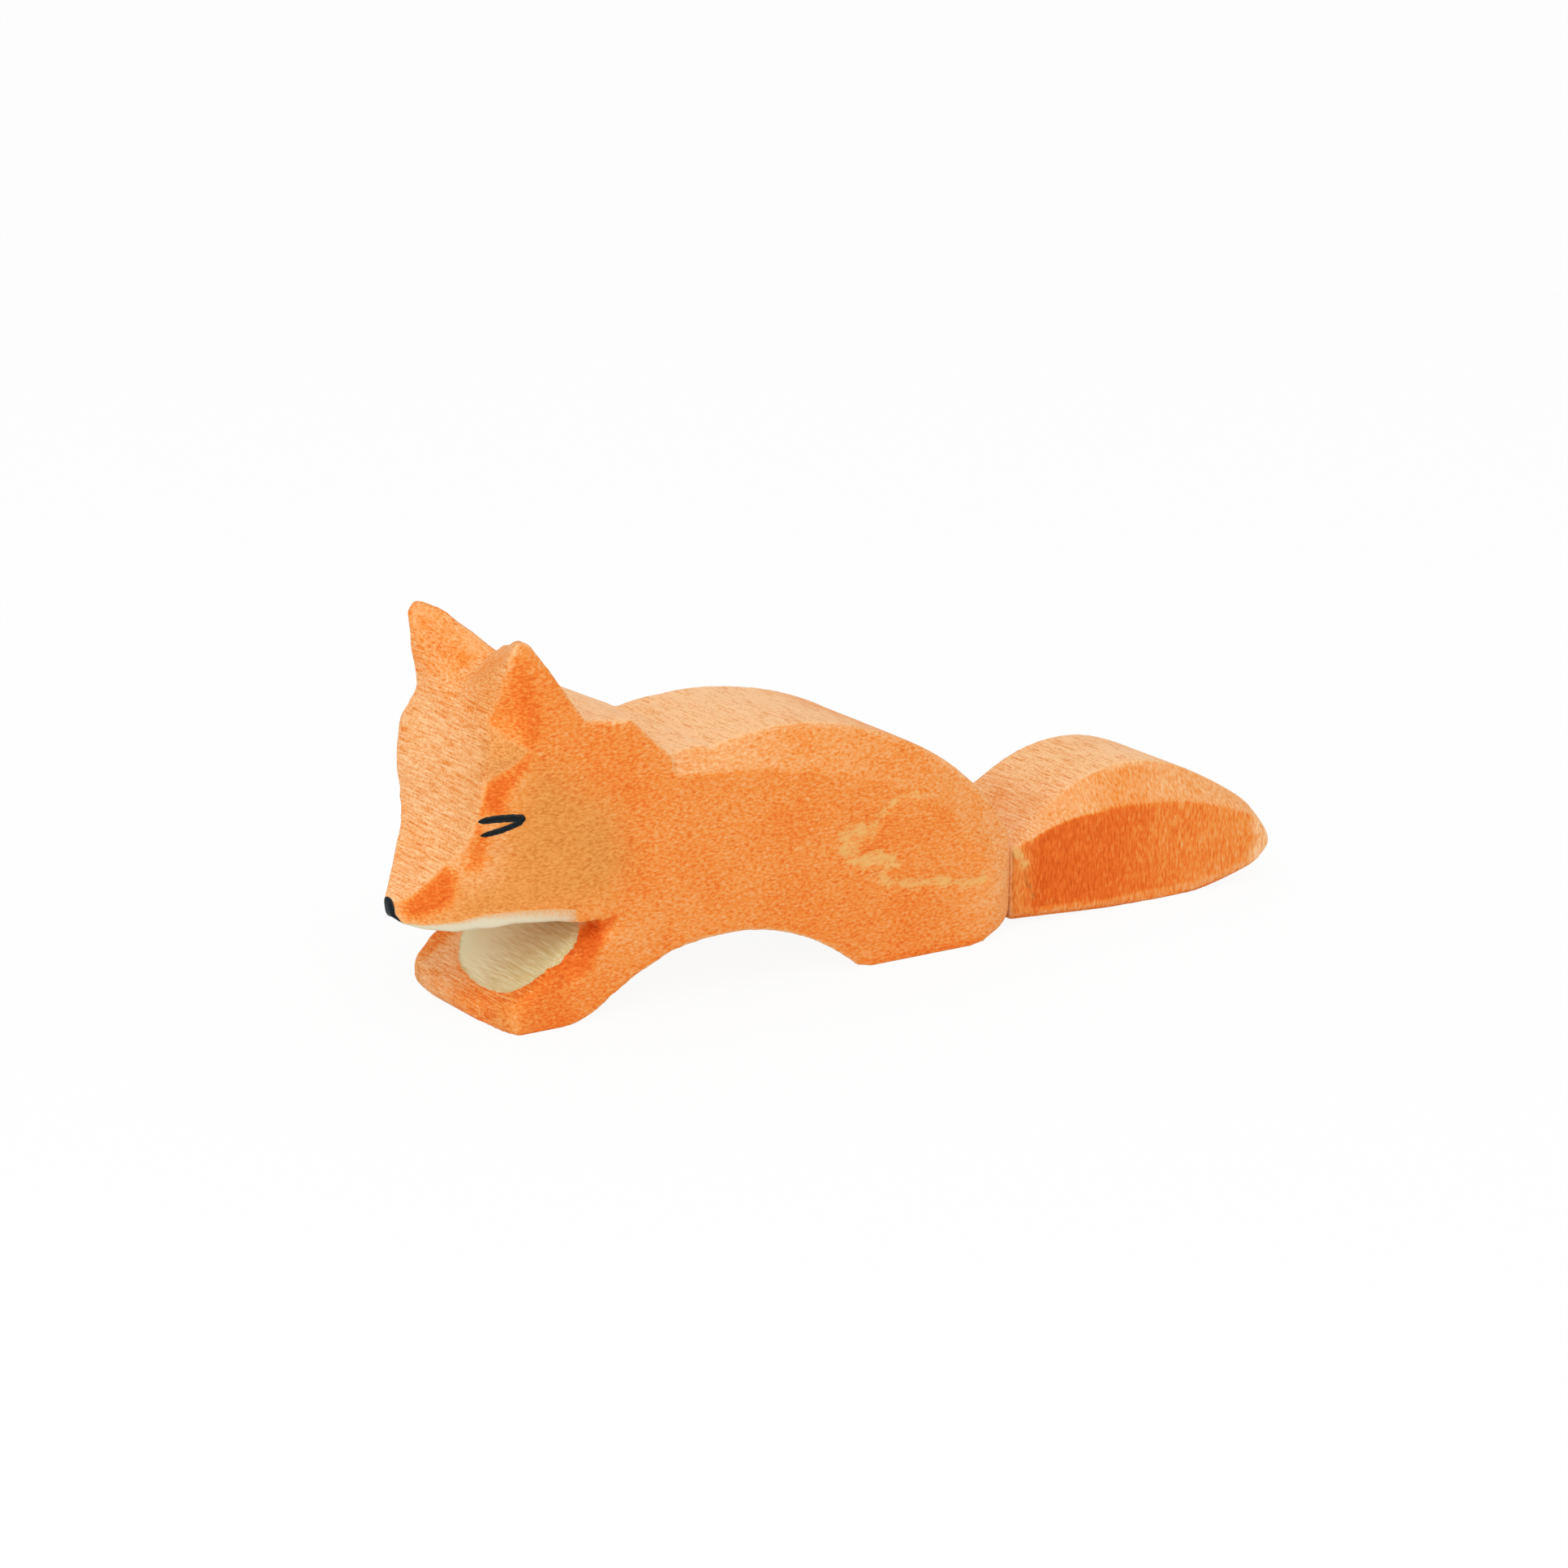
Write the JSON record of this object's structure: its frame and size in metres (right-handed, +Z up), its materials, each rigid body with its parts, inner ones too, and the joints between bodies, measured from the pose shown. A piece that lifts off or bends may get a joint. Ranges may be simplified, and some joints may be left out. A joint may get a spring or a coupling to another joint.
{
  "type": "wooden fox figurine",
  "caption": "Lying fox carved from stained wood, with pricked ears, a bushy tail laid straight back, a cream chest and jaw, and painted eyes and nose; stands on a shelf as a toy or ornament.",
  "frame": {"origin": "on the ground, under the middle of the fox's length and thickness", "axes": "+X from the nose to the tip of the tail, +Y to the fox's right, +Z up"},
  "size_m": [0.1086, 0.023, 0.0411],
  "materials": {
    "body_wood": "translucent orange stain, satin, fine saw and knife marks",
    "tail_wood": "translucent orange stain, satin, fine saw marks",
    "dowel_wood": "plain turned hardwood",
    "cream_paint": "thin matte brush paint",
    "black_paint": "thin satin brush paint"
  },
  "bodies": {
    "root": {"body": "body_wood", "tail": "tail_wood", "tail_dowel": "dowel_wood", "chest_patch": "cream_paint", "left_jaw_stripe": "cream_paint", "right_jaw_stripe": "cream_paint", "nose_cap": "black_paint", "left_eye": "black_paint", "right_eye": "black_paint"}
  },
  "joints": []
}
